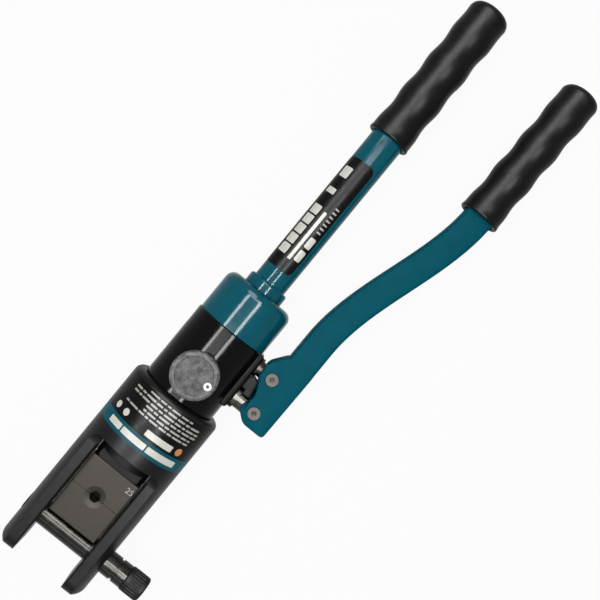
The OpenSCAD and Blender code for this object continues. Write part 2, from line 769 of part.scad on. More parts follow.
module plunger() color("#9a9a9c") difference() {
    union() {
        along_x(plunger_end_x, plunger_y) cylinder(d = plunger_d, h = plunger_pin_x - plunger_end_x);
        translate([plunger_pin_x, plunger_y, 0])
            cylinder(d = plunger_eye_d, h = eye_t, center = true);
    }
    eye_w = lever_pin_d + 2 * slide_gap;
    for (s = [-1, 1]) translate([plunger_pin_x, plunger_y - eye_shift + s * eye_play / 2, 0])
        cylinder(d = eye_w, h = lever_t, center = true);
    translate([plunger_pin_x, plunger_y - eye_shift, 0]) cube([eye_w, eye_play, lever_t], center = true);
}

module plunger_seal() color("#2f5d3a")
    along_x(boss_reach - gland_thread_len - plunger_seal_len, plunger_y)
    ring(gland_thread_d, plunger_d + 4 * run_clear, groove_gap, plunger_seal_len - groove_gap);

module plunger_gland() color("#8f8f91") along_x(boss_reach - gland_thread_len, plunger_y) {
    ring(gland_thread_d, plunger_d + 2 * run_clear, 0, gland_thread_len);
    ring(gland_d, plunger_d + 2 * run_clear, gland_thread_len, gland_thread_len + gland_head_len);
}

module fulcrum_stud() color("#a2a2a4") difference() {
    union() {
        along_x(boss_reach - stud_thread_len, fulcrum_y)
            cylinder(d = stud_d, h = fulcrum_x - boss_reach + stud_thread_len);
        along_x(boss_reach, fulcrum_y) cylinder(d = stud_collar_d, h = stud_collar_len);
        translate([fulcrum_x, fulcrum_y, 0]) cylinder(d = stud_eye_d, h = eye_t, center = true);
    }
    translate([fulcrum_x, fulcrum_y, 0])
        cylinder(d = lever_pin_d + 2 * run_clear, h = lever_t, center = true);
}

// Release knob

module release_knob() color("#77787a") translate([0, knob_y, knob_z]) difference() {
    r = knob_d / 2;
    e = knob_t / 4;
    rotate_extrude() polygon(concat(
        [[0, 0]], [[r - e / 2, 0], [r, e / 2]], arc([r - e, knob_t - e], e, 0, 90),
        [[r - knob_rim_w, knob_t], [r - knob_rim_w - knob_dish, knob_t - knob_dish],
         [0, knob_t - knob_dish]]));
    translate([0, 0, -over]) cylinder(d = spindle_d + 2 * run_clear, h = hub_depth + over);
    translate([marker_x, 0, knob_t - knob_dish - marker_depth])
        cylinder(d = marker_d + 2 * run_clear, h = knob_t);
    for (k = [0:knob_flutes - 1]) rotate(360 * k / knob_flutes)
        translate([r + knob_flute_d / 4, 0, e]) cylinder(d = knob_flute_d, h = knob_t - 2 * e - e / 2);
}

module knob_marker() color("#f0efe9")
    translate([marker_x, knob_y, knob_z + knob_t - knob_dish - marker_depth])
    ring(marker_d, marker_hole_d, 0, marker_depth + marker_proud);

module release_spindle() color("#9a9a9c") translate([0, knob_y, 0]) difference() {
    translate([0, 0, spindle_tip_z])
        cylinder(d = spindle_d, h = knob_z + hub_depth - spindle_tip_z - run_clear);
    ring(spindle_d + over, spindle_d - 2 * spindle_ring_depth, spindle_groove_z,
         spindle_groove_z + spindle_ring_w);
}

module spindle_ring() color("#222222") translate([0, knob_y, spindle_groove_z])
    ring(spindle_d, spindle_d - 2 * (spindle_ring_depth - groove_gap), groove_gap,
         spindle_ring_w - groove_gap);

module release_ball() color("silver")
    translate([0, knob_y, spindle_tip_z - run_clear - release_ball_d / 2]) sphere(d = release_ball_d);

// Reservoir: cap, tube and what is in it

module rear_cap() color("#0d5f70") along_y(0) difference() {
    r = cap_d / 2;
    rotate_extrude() polygon(concat(
        [[0, cap_front_y], [r - cap_chamfer, cap_front_y], [r, cap_front_y + cap_chamfer]],
        arc([r - cap_r, cap_rear_y - cap_r], cap_r, 0, 90), [[0, cap_rear_y]]));
    cylinder(d = spigot_d + 2 * run_clear, h = spigot_rear_y);
    cylinder(d = cap_cavity_d, h = tube_front_y);
    cylinder(d = tube_d + 2 * run_clear, h = cap_rear_y + over);
}

module tube_ring() color("#0d5f70") along_y(cap_rear_y) difference() {
    e = ring_len / 4;
    r = ring_d / 2;
    rotate_extrude() polygon(concat(
        [[0, 0], [r, 0]], arc([r - e, ring_len - e], e, 0, 90), [[0, ring_len]]));
    translate([0, 0, -over]) cylinder(d = tube_d + 2 * run_clear, h = ring_len + 2 * over);
}

module handle_tube() color("#0d5f70") along_y(0)
    ring(tube_d, tube_d - 2 * tube_wall, tube_front_y, tube_rear_y);

module oil_bladder() color("#3a3230") along_y(0) {
    r = bladder_d / 2;
    ri = r - bladder_wall;
    end = bladder_front_y + bladder_len - r;
    rotate_extrude() polygon(concat(
        [[ri, bladder_front_y], [r, bladder_front_y]], arc([0, end], r, 0, 90),
        arc([0, end], ri, 90, 0)));
}

module bladder_ferrule() color("#b08d4a") along_y(0) {
    inner = bladder_d - 2 * bladder_wall - 2 * run_clear;
    ring(tube_d, ferrule_bore_d, tube_front_y - ferrule_flange_t, tube_front_y);
    ring(inner, ferrule_bore_d, tube_front_y, tube_front_y + ferrule_len);
}

module tube_plug() color("#1c1c1c") along_y(tube_rear_y) difference() {
    union() {
        translate([0, 0, -plug_len]) cylinder(d = tube_d - 2 * tube_wall - 2 * run_clear, h = plug_len);
        cylinder(d = tube_d, h = plug_flange_t);
    }
    translate([0, 0, -plug_len - over]) cylinder(d = vent_d, h = plug_len + plug_flange_t + 2 * over);
}

// A rubber grip about Z from its mouth at z = 0: a flange, a plain stretch, finger waves and a rounded end
function grip_r(z, d, length) =
    let (wave = max(0, z - plain_len), fade = min(1, (length - z) / wave_pitch))
    d / 2 - wave_depth * fade * (1 - cos(360 * wave / wave_pitch)) / 2;

module grip_body(d, length) {
    shoulder = length - end_r - end_crown;
    steps = round(shoulder / wave_pitch * wave_steps);
    rotate_extrude() polygon(concat(
        [[0, 0], [d / 2, 0]],
        arc([d / 2 + flange_out - flange_r, flange_r], flange_r, 0, 90, corner_steps),
        [for (i = [0:steps - 1]) let (z = flange_h + (shoulder - flange_h) * i / steps)
         [grip_r(z, d, length), z]],
        arc([grip_r(shoulder, d, length) - end_r, shoulder], end_r, 0, 90),
        [[0, length]]));
}

module handle_grip() color("#151515") along_y(grip_front_y) difference() {
    grip_body(grip_d, grip_len);
    translate([0, 0, -over]) cylinder(d = tube_d + 2 * run_clear, h = grip_len - grip_end_wall + over);
}

// Lever

function ease(t) = let (c = min(1, max(0, t))) c * c * (3 - 2 * c);
function ease_slope(t) = let (c = min(1, max(0, t))) 6 * c * (1 - c);
function bend_at(y) = (y - bend_start_y) / bend_len;
function arm_x(y) = fulcrum_x + arm_shift + bend_out * ease(bend_at(y));
function arm_angle(y) = atan(bend_out * ease_slope(bend_at(y)) / bend_len);
function arm_t(y) = lever_t + (lever_end_t - lever_t) * (y - arm_root_y) / (arm_end_y - arm_root_y);

// The arm as a swept bar with rounded edges
module lever_arm() {
    skin([for (i = [0:arm_steps])
          let (y = arm_root_y + (arm_end_y - arm_root_y) * i / arm_steps, a = arm_angle(y))
          [for (p = rounded_rect(arm_t(y), lever_w, lever_edge_r))
           [arm_x(y) + p.y * cos(a), y - p.y * sin(a), p.x]]]);
}

// Outline of the cheeks round the two pins, from the fulcrum
function cheek_outline() = rounded([
    [-heel_share * cheek_reach, -heel_drop], [lever_back, -heel_drop],
    [arm_shift + lever_w / 2, arm_root_rise], [arm_shift - lever_w / 2, arm_root_rise],
    [-lobe_reach, pin_spacing + lobe_rise], [-lobe_reach, pin_spacing - lobe_share * lobe_rise],
    [-notch_reach, notch_share * pin_spacing], [-cheek_reach, -toe_share * cheek_reach]], corner_r);

module grip_frame() translate([arm_x(arm_end_y), lever_grip_y, 0]) rotate([0, 0, lever_grip_angle])
    along_y(0) children();

module lever() color("#0d5f70") difference() {
    union() {
        lever_arm();
        translate([fulcrum_x, fulcrum_y, 0]) soft_plate(cheek_outline(), lever_t, lever_edge_r / 2);
        grip_frame() cylinder(d = tang_d, h = lever_grip_len - tang_end_gap);
    }
    // Slot between the cheeks
    translate([fulcrum_x - lever_back - lever_w, fulcrum_y - heel_drop - over, -cheek_gap / 2])
        cube([2 * lever_back + lever_w - web_t, slot_rise + heel_drop + over, cheek_gap]);
    for (p = lever_pins)
        translate([p.x, p.y, 0]) cylinder(d = lever_pin_d + 2 * run_clear, h = 2 * lever_t, center = true);
}

module lever_grip() color("#151515") grip_frame() difference() {
    grip_body(lever_grip_d, lever_grip_len);
    translate([0, 0, -over])
        cylinder(d = tang_d + 2 * run_clear, h = lever_grip_len - tang_end_gap + over + run_clear);
    translate([0, 0, mouth_depth / 2 - over / 2])
        cube([lever_w + 2 * mouth_gap, lever_end_t + 2 * mouth_gap, mouth_depth + over], center = true);
}

// A lever pin with a dimpled end and a groove for its circlip
module lever_pin(p) translate([p.x, p.y, 0]) difference() {
    translate([0, 0, -lever_t / 2 - pin_tail])
        cylinder(d = lever_pin_d, h = lever_t + pin_tail + pin_proud);
    translate([0, 0, lever_t / 2 + pin_proud - dimple_depth])
        cylinder(d1 = 0, d2 = dimple_d, h = dimple_depth + run_clear);
    ring(lever_pin_d + over, lever_pin_d - 2 * circlip_depth,
         -lever_t / 2 - circlip_t - 2 * groove_gap, -lever_t / 2);
}

module fulcrum_pin() color("#a5a09c") lever_pin(lever_pins[0]);
module plunger_pin() color("#a5a09c") lever_pin(lever_pins[1]);

module pin_circlips() color("#4a4a4c")
    for (p = lever_pins) translate([p.x, p.y, 0]) difference() {
        ring(circlip_d, lever_pin_d - 2 * circlip_depth + 2 * run_clear,
             -lever_t / 2 - circlip_t - groove_gap, -lever_t / 2 - groove_gap);
        translate([0, -circlip_d, -lever_t])
            cube([circlip_mouth_share * lever_pin_d, circlip_d, lever_t]);
    }

fork_head();
lower_die();
wiper_ring();
detent_ball();
detent_spring();
detent_screw();
latch_pin();
pull_knob();
ram();
die_holder();
upper_die();
die_screw();
ram_seal();
guide_ring();
return_bolt();
return_spring();
pump_body();
body_seal();
outlet_ball();
outlet_spring();
outlet_plug();
inlet_ball();
inlet_spring();
inlet_seat();
relief_ball();
relief_spring();
relief_screw();
plunger();
plunger_seal();
plunger_gland();
fulcrum_stud();
release_knob();
release_spindle();
release_ball();
spindle_ring();
knob_marker();
rear_cap();
cap_seal();
handle_tube();
tube_ring();
oil_bladder();
bladder_ferrule();
tube_plug();
handle_grip();
lever();
lever_grip();
fulcrum_pin();
plunger_pin();
pin_circlips();
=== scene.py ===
"""Finishes, rubber grips, plain decals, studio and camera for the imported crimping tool.

Lengths below are in millimetres and are turned into metres by MM. The frame is the part's own:
the crimping nest is the origin, +Y runs along the ram to the fixed handle, +X points to the
pump lever and +Z out of the front face.
"""

import math

import bpy
from mathutils import Matrix, Vector


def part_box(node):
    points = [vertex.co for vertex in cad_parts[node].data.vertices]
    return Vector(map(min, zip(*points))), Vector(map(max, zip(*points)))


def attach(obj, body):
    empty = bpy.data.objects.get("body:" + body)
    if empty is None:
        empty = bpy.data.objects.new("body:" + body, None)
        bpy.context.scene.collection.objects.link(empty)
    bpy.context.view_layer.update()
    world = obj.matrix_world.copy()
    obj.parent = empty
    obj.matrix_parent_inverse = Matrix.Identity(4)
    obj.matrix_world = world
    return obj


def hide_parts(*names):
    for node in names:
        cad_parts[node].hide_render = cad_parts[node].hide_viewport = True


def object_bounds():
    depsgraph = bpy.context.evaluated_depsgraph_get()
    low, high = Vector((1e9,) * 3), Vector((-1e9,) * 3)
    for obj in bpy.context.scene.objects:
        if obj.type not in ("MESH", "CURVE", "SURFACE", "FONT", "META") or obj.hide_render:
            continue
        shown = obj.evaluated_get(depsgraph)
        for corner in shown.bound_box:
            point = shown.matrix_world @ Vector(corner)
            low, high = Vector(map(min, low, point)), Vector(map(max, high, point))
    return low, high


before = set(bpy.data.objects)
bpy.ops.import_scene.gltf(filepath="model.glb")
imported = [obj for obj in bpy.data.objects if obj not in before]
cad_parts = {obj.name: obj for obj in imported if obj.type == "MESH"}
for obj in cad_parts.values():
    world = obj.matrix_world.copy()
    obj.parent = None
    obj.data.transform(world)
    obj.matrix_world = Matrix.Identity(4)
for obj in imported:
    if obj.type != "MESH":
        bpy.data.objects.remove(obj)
cad_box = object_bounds()
MM = 0.001


def srgb(red, green, blue):
    """A colour written in 8-bit sRGB, as linear RGBA."""

    def linear(c):
        c /= 255
        return c / 12.92 if c <= 0.04045 else ((c + 0.055) / 1.055) ** 2.4

    return (linear(red), linear(green), linear(blue), 1.0)


def shade(colour, factor):
    """The same colour, lighter or darker."""
    return tuple(min(1.0, c * factor) for c in colour[:3]) + (1.0,)


# Colours, read from the photograph for the pieces that it shows
BLACK = srgb(8, 8, 9)
SATIN_BLACK = srgb(13, 13, 14)
TEAL = srgb(0, 88, 104)
DIE = srgb(45, 41, 36)
STEEL = srgb(62, 61, 58)
ZINC = srgb(83, 81, 78)
PIN_STEEL = srgb(42, 41, 39)
BRIGHT = srgb(140, 138, 136)
DARK_STEEL = srgb(56, 55, 57)
OXIDE = srgb(15, 15, 16)
KNOB_GREY = srgb(94, 94, 95)
RUBBER = srgb(8, 8, 8)
SEAL = srgb(24, 26, 25)
BRASS = srgb(176, 141, 74)
PALE = srgb(214, 212, 204)
GREY_INK = srgb(172, 169, 162)
ORANGE = srgb(206, 142, 70)
MARKER_WHITE = srgb(236, 235, 230)
NUMBER_INK = srgb(168, 160, 146)

# Camera, fitted to the photograph's landmarks
CAMERA_AT = Vector((-0.88, 168.38, 540)) * MM
CAMERA_AIM = Vector((20.74, 170.76, 0)) * MM
CAMERA_UP = Vector((-0.6342, 0.77286, -0.022))
LENS_MM = 52.48
SENSOR_MM = 36

# Tool marks, drawn out this many times along X, Y and Z
TURNED_X = (1, 60, 60)
TURNED_Y = (60, 1, 60)
TURNED_Z = (60, 60, 1)
GROUND = (80, 1, 1)

# The nest's corners lie just inside this distance from its axis
NEST_CORNER = 3.6

# A face this far outside the pump body's round wall belongs to its boss
BOSS_MARGIN = 0.05

# The lever's edges stay sharp above this angle in degrees, once points this close are joined
LEVER_SHARP = 38
LEVER_WELD = 0.005

# Each grip's piece, CAD node, body, mouth, tilt in degrees, diameter and length. The lengths are
# read from the photograph and are a little under those of the solids.
GRIPS = (
    ("rubber_handle_grip", "handle_grip", "frame", (0, 281, 0), 0, 27.8, 103.2),
    ("rubber_lever_grip", "lever_grip", "lever", (74, 280, 0), -1.2, 26.6, 101.8),
)

# The grips' rolled lip from inside the mouth outwards: height, and radius beyond the grip's own
LIP = ((1.2, -2.2), (0.4, -2), (0, -1.4), (0, -0.3), (0.25, 0.1),
       (0.8, 0.35), (1.5, 0.35), (2.2, 0.15), (2.8, 0.02))

# The grips' waves, and their end: a round corner and a low crown
BODY_FROM = 3.4
BODY_STEPS = 110
WAVE_PITCH = 24.8
WAVE_DEPTH = 1.1
WAVE_START = 7.8
CORNER = 5
CORNER_STEPS = 10
CORNER_STEP_DEGREES = 8.5
CROWN = 0.8
CROWN_STEPS = 6
GRIP_SIDES = 180

# The grips' mould seam: its height, its spread in degrees, and where it stops short of both ends
SEAM = 0.14
SEAM_SPREAD = 2.2
SEAM_FROM = 4
SEAM_STOP = 1

# Decals stand off the surface that carries them by this, once for each layer
DECAL_LIFT = 0.05
ON_METAL = 1
ON_FILM = 2
ON_BAND = 3
DECAL_COLUMNS = 48

# Dashes that stand for text: their lengths in turn, the gap after each and the room for a last one
DASH_LENGTHS = (5.2, 3.1, 7.4, 4.3, 2.4, 6.1)
DASH_GAP = 0.9
DASH_ROOM = 1.5

# The number on the upper die: its place in X and Y, its size and how far it stands out
NUMBER_AT = (14.4, 15.4)
NUMBER_SIZE = 5.2
NUMBER_RISE = 0.03

# Rays to which the background is plain white, and its light for the others
SEEN_RAYS = ("Is Camera Ray", "Is Glossy Ray", "Is Transmission Ray")
AMBIENT = 0.34

# The floor, in metres, its distance below the tool in millimetres, and how much of it is plain
# white to those rays, the rest being left for the shadow
FLOOR_HALF = 2.5
FLOOR_DROP = 0.2
FLOOR_WHITE = 0.93

# Lamps: name, place and size in metres, radiance, whether they light matt surfaces and whether
# they show in glossy ones. Tubes run along three sides of the soft box over the head, and there
# are boxes over the body and the grips for their reflections alone.
LAMPS = (
    ("soft_box", (-0.097, 0.08, 0.9), (0.66, 0.6), 2.2, True, True),
    ("fill_box", (-0.097, 0.17, 0.905), (0.66, 0.78), 2.0, True, False),
    ("side_tube", (-0.427, 0.08, 0.895), (0.14, 0.6), 66, False, True),
    ("side_tube", (0.233, 0.08, 0.895), (0.14, 0.6), 66, False, True),
    ("end_tube", (-0.097, 0.38, 0.895), (0.66, 0.14), 22, False, True),
    ("body_box", (-0.15, -0.02, 0.89), (0.5, 0.18), 12, False, True),
    ("front_tube", (0, -0.85, 0.75), (1.2, 0.16), 3, False, True),
    ("grip_box", (-0.42, 0.9, 0.9), (0.72, 0.82), 24, False, True),
)


class Graph:
    """One material's nodes; an input takes a plain value or another node's output."""

    def __init__(self, name):
        self.material = bpy.data.materials.new(name)
        self.material.use_nodes = True
        self.tree = self.material.node_tree
        self.shader = self.tree.nodes["Principled BSDF"]
        self.place = self.add("ShaderNodeTexCoord").outputs["Object"]

    def put(self, socket, value):
        if isinstance(value, bpy.types.NodeSocket):
            self.tree.links.new(value, socket)
        else:
            socket.default_value = value

    def add(self, kind, inputs=None, **settings):
        node = self.tree.nodes.new(kind)
        for key, value in settings.items():
            setattr(node, key, value)
        for key, value in (inputs or {}).items():
            self.put(node.inputs[key], value)
        return node

    def set(self, **inputs):
        """Sets the shader's inputs, written with _ for a space."""
        for key, value in inputs.items():
            self.put(self.shader.inputs[key.replace("_", " ")], value)

    def noise(self, size, stretch=(1, 1, 1), detail=3.0):
        """Noise from 0 to 1 with spots about size mm across, drawn out along the axes by stretch."""
        scale = [1 / (size * MM * s) for s in stretch]
        spot = self.add("ShaderNodeMapping", {"Vector": self.place, "Scale": scale})
        inputs = {"Vector": spot.outputs["Vector"], "Scale": 1.0, "Detail": detail}
        return self.add("ShaderNodeTexNoise", inputs).outputs["Fac"]

    def pebbles(self, size):
        """Distance from the nearest of many cell centres about size mm apart."""
        inputs = {"Vector": self.place, "Scale": 1 / (size * MM)}
        return self.add("ShaderNodeTexVoronoi", inputs).outputs["Distance"]

    def span(self, value, low, high, to_low=0.0, to_high=1.0):
        """value between low and high, stretched to the range to_low to to_high."""
        inputs = {"Value": value, "From Min": low, "From Max": high,
                  "To Min": to_low, "To Max": to_high}
        return self.add("ShaderNodeMapRange", inputs).outputs["Result"]

    def times(self, a, b):
        return self.add("ShaderNodeMath", {0: a, 1: b}, operation="MULTIPLY").outputs[0]

    def mix(self, share, a, b):
        """Colour a going over to colour b."""
        return self.add("ShaderNodeMix", {0: share, 6: a, 7: b}, data_type="RGBA").outputs[2]

    def rounded(self, radius):
        """The normal with every edge rounded to radius mm."""
        return self.add("ShaderNodeBevel", {"Radius": radius * MM}, samples=6).outputs["Normal"]

    def edges(self, normal):
        """1 on an edge and 0 on a flat, from the rounded normal."""
        flat = self.add("ShaderNodeNewGeometry").outputs["Normal"]
        dot = self.add("ShaderNodeVectorMath", {0: normal, 1: flat}, operation="DOT_PRODUCT")
        return self.span(dot.outputs["Value"], 0.995, 0.88)

    def bump(self, height, depth, normal=None):
        """A normal with relief: height runs from 0 to 1 and stands for depth mm."""
        inputs = {"Height": height, "Distance": depth * MM, "Strength": 1.0}
        if normal is not None:
            inputs["Normal"] = normal
        return self.add("ShaderNodeBump", inputs).outputs["Normal"]


def enamel(name, colour, roughness, gloss, edge_tone=1.8, edge_r=0.5):
    """Sprayed paint: orange peel, faint mottling, dust nibs, and rounded edges tinted by edge_tone:
    lighter as worn paint, which on the fork head also stands for painted highlight, and darker on
    the lever as painted shade."""
    g = Graph(name)
    mottle = g.noise(11)
    nibs = g.span(g.noise(0.7, detail=1.0), 0.66, 0.74)
    normal = g.rounded(edge_r)
    # Edge mask for wear and painted light: lighter edges are worn paint, and on the fork head also
    # painted highlight; darker edges are painted shade.
    edge_wear_and_light = g.times(g.edges(normal), g.span(g.noise(2.5), 0.35, 0.6, 0.2, 0.8))
    tone = g.mix(g.span(mottle, 0.3, 0.7), shade(colour, 0.93), shade(colour, 1.08))
    tone = g.mix(g.times(nibs, 0.3), tone, shade(colour, 1.4))
    tone = g.mix(edge_wear_and_light, tone, shade(colour, edge_tone))
    g.set(Base_Color=tone, Specular_IOR_Level=gloss)
    g.set(Roughness=g.span(g.noise(4), 0.3, 0.7, roughness - 0.03, roughness + 0.05))
    g.set(Normal=g.bump(g.noise(4, detail=1.0), 0.0005, normal))
    return g.material


def metal(name, colour, roughness, grain, metallic=1.0, depth=0.008, gloss=0.5):
    """Machined metal: tool marks drawn out by grain, oil stains and bright edges."""
    g = Graph(name)
    marks = g.noise(0.25, stretch=grain, detail=2.0)
    stain = g.noise(6)
    normal = g.rounded(0.3)
    tone = g.mix(g.span(stain, 0.3, 0.7), shade(colour, 0.88), shade(colour, 1.08))
    tone = g.mix(g.times(g.span(marks, 0.45, 0.75), 0.35), tone, shade(colour, 1.3))
    tone = g.mix(g.times(g.edges(normal), 0.7), tone, shade(colour, 1.35))
    g.set(Base_Color=tone, Metallic=metallic, Specular_IOR_Level=gloss)
    g.set(Roughness=g.span(stain, 0.3, 0.7, roughness - 0.05, roughness + 0.07))
    g.set(Normal=g.bump(marks, depth, normal))
    return g.material


def moulded(name, colour, roughness, cell, depth, gloss=0.4):
    """Moulded rubber or plastic: a pebbled skin, uneven tone and pale scuffs."""
    g = Graph(name)
    skin = g.pebbles(cell)
    scuff = g.span(g.noise(3.5, stretch=(1, 3, 1)), 0.55, 0.75)
    tone = g.mix(g.span(g.noise(9), 0.3, 0.7), shade(colour, 0.85), shade(colour, 1.2))
    tone = g.mix(g.times(scuff, 0.35), tone, shade(colour, 1.9))
    g.set(Base_Color=tone, Specular_IOR_Level=gloss)
    g.set(Roughness=g.span(g.noise(2), 0.3, 0.7, roughness - 0.04, roughness + 0.06))
    g.set(Normal=g.bump(skin, depth, g.rounded(0.3)))
    return g.material


def cast(name, node, colour, roughness, rim):
    """Worn cast metal on a round knob: blotches, dark pits, and a brighter rim that is partly
    rubbed wear and partly painted highlight.

    The rim is given in mm from the knob's axis.
    """
    g = Graph(name)
    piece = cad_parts[node]
    low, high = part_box(node)
    centre = piece.matrix_world.inverted() @ ((Vector(low) + Vector(high)) / 2)
    offset = g.add("ShaderNodeVectorMath", {0: g.place, 1: centre}, operation="SUBTRACT")
    across = {0: offset.outputs["Vector"], 1: (1, 1, 0)}
    flat = g.add("ShaderNodeVectorMath", across, operation="MULTIPLY").outputs["Vector"]
    out = g.add("ShaderNodeVectorMath", {0: flat}, operation="LENGTH").outputs["Value"]
    blotch = g.noise(3.4, detail=5.0)
    pits = g.span(g.noise(1.1, detail=3.0), 0.56, 0.66)
    normal = g.rounded(0.7)
    tone = g.mix(g.span(blotch, 0.36, 0.64), shade(colour, 0.36), shade(colour, 1.5))
    near_rim = g.span(out, (rim - 1.8) * MM, rim * MM)
    # The rim is lightened all round: partly rubbed wear, partly painted highlight.
    rubbed_and_lit_rim = g.times(near_rim, g.span(g.noise(2.5), 0.4, 0.6, 0.1, 0.8))
    tone = g.mix(rubbed_and_lit_rim, tone, shade(colour, 2.1))
    tone = g.mix(g.times(pits, 0.7), tone, shade(colour, 0.3))
    tone = g.mix(g.times(g.edges(normal), 0.8), tone, shade(colour, 2.2))
    g.set(Base_Color=tone, Specular_IOR_Level=0.065)
    g.set(Roughness=g.span(blotch, 0.3, 0.7, roughness - 0.08, roughness + 0.1))
    g.set(Normal=g.bump(blotch, 0.16, normal))
    return g.material


def printed(name, colour, roughness=0.4, gloss=0.3):
    """Printed film: even ink with fine pinholes and a few scuffs."""
    g = Graph(name)
    pinholes = g.span(g.noise(0.3, detail=1.0), 0.64, 0.72)
    scuff = g.span(g.noise(3, stretch=(1, 4, 1)), 0.6, 0.8)
    tone = g.mix(g.times(pinholes, 0.4), colour, shade(colour, 0.6))
    tone = g.mix(g.times(scuff, 0.3), tone, shade(colour, 0.75))
    g.set(Base_Color=tone, Specular_IOR_Level=gloss)
    g.set(Roughness=g.span(g.noise(2), 0.3, 0.7, roughness - 0.05, roughness + 0.08))
    g.set(Normal=g.bump(g.noise(1.2, detail=1.0), 0.004))
    return g.material


def paint_nodes():
    """Gives every carried-over CAD node its finish."""
    coat = shade(TEAL, 0.94)
    knurl = shade(DARK_STEEL, 0.36)
    steel = metal("zinc_steel", ZINC, 0.5, TURNED_Z, metallic=0.15, gloss=0.045)
    ball = metal("bright_ball", BRIGHT, 0.16, (4, 4, 4))
    wire = metal("spring_wire", BRIGHT, 0.3, (3, 3, 3))
    dark = metal("dark_steel", DARK_STEEL, 0.42, TURNED_Y)
    brass = metal("turned_brass", BRASS, 0.3, TURNED_Y)
    seal = moulded("seal_rubber", SEAL, 0.5, cell=0.5, depth=0.01)
    plastic = moulded("plug_plastic", RUBBER, 0.5, cell=0.8, depth=0.02)
    teal = enamel("teal_gloss", coat, 0.1, gloss=0.09)
    blacked = metal("blacked_die", DIE, 0.5, GROUND, metallic=0.22, gloss=0.09)
    ground_pin = metal("ground_pin", PIN_STEEL, 0.18, TURNED_X, depth=0.003)
    knurled = metal("knurled_knob", knurl, 0.5, (2, 2, 2), metallic=0.3, gloss=0.05)
    finishes = [
        # Lighter edges on the fork head are partly worn paint and partly painted highlight.
        (enamel("black_satin", SATIN_BLACK, 0.38, gloss=0.095, edge_tone=3.5), ["fork_head"]),
        (enamel("black_gloss", BLACK, 0.1, gloss=0.065, edge_tone=2.0), ["pump_body"]),
        (teal, ["rear_cap", "tube_ring", "handle_tube"]),
        # Darker edges on the lever are painted shade, around the pin holes and along its outline.
        (enamel("teal_satin", coat, 0.5, gloss=0.008, edge_tone=0.25, edge_r=1.1), ["lever"]),
        (blacked, ["lower_die", "upper_die"]),
        (ground_pin, ["latch_pin", "plunger", "plunger_gland"]),
        (metal("stud_steel", STEEL, 0.25, TURNED_X), ["fulcrum_stud"]),
        (knurled, ["pull_knob"]),
        (enamel("black_oxide", OXIDE, 0.5, gloss=0.06, edge_tone=3.0), ["ram", "die_holder"]),
        (dark, ["return_bolt", "outlet_plug", "detent_screw", "die_screw"]),
        (steel, ["fulcrum_pin", "plunger_pin", "release_spindle"]),
        (metal("clip_steel", DARK_STEEL, 0.35, TURNED_Z), ["pin_circlips"]),
        (cast("knob_cast", "release_knob", KNOB_GREY, 0.36, rim=12.2), ["release_knob"]),
        (printed("marker_enamel", MARKER_WHITE), ["knob_marker"]),
        (ball, ["detent_ball", "outlet_ball", "inlet_ball", "relief_ball", "release_ball"]),
        (wire, ["return_spring", "detent_spring", "outlet_spring", "inlet_spring", "relief_spring"]),
        (brass, ["inlet_seat", "relief_screw", "bladder_ferrule"]),
        (seal, ["wiper_ring", "ram_seal", "body_seal", "plunger_seal", "spindle_ring", "cap_seal",
                "oil_bladder"]),
        (plastic, ["tube_plug", "guide_ring"]),
    ]
    for finish, names in finishes:
        for name in names:
            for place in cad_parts[name].material_slots:
                place.material = finish


def plain_group(name):
    """An empty geometry-nodes group with its way in and its way out."""
    group = bpy.data.node_groups.new(name, "GeometryNodeTree")
    for way in ("INPUT", "OUTPUT"):
        group.interface.new_socket("Geometry", in_out=way, socket_type="NodeSocketGeometry")
    start = group.nodes.new("NodeGroupInput").outputs[0]
    end = group.nodes.new("NodeGroupOutput").inputs[0]
    return group, start, end


def smooth_group(angle):
    """Geometry nodes that shade smoothly, apart from edges sharper than angle degrees."""
    group, start, end = plain_group("smooth_by_angle")
    add, join = group.nodes.new, group.links.new
    drop = add("GeometryNodeRemoveAttribute")
    drop.inputs["Name"].default_value = "custom_normal"
    faces = add("GeometryNodeSetShadeSmooth")
    sharp = add("FunctionNodeCompare")
    sharp.inputs["B"].default_value = math.radians(angle)
    edges = add("GeometryNodeSetShadeSmooth")
    edges.domain = "EDGE"
    edges.inputs["Shade Smooth"].default_value = False
    join(start, drop.inputs["Geometry"])
    join(drop.outputs["Geometry"], faces.inputs["Geometry"])
    join(faces.outputs["Geometry"], edges.inputs["Geometry"])
    join(add("GeometryNodeInputMeshEdgeAngle").outputs["Unsigned Angle"], sharp.inputs["A"])
    join(sharp.outputs["Result"], edges.inputs["Selection"])
    join(edges.outputs["Geometry"], end)
    return group


def recoat(node, across, side, limit, finish):
    """Gives another finish to a node's faces that lie within or beyond limit mm of an axis.

    The axis runs through the origin, and across is 1 along each axis at right angles to it.
    """
    group, start, end = plain_group("recoat")
    add, join = group.nodes.new, group.links.new
    offset = add("ShaderNodeVectorMath")
    offset.operation = "MULTIPLY"
    offset.inputs[1].default_value = across
    distance = add("ShaderNodeVectorMath")
    distance.operation = "LENGTH"
    chosen = add("FunctionNodeCompare")
    chosen.operation = side
    chosen.inputs["B"].default_value = limit * MM
    coat = add("GeometryNodeSetMaterial")
    coat.inputs["Material"].default_value = finish
    join(add("GeometryNodeInputPosition").outputs["Position"], offset.inputs[0])
    join(offset.outputs["Vector"], distance.inputs[0])
    join(distance.outputs["Value"], chosen.inputs["A"])
    join(chosen.outputs["Result"], coat.inputs["Selection"])
    join(start, coat.inputs["Geometry"])
    join(coat.outputs["Geometry"], end)
    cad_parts[node].modifiers.new("recoat", "NODES").node_group = group


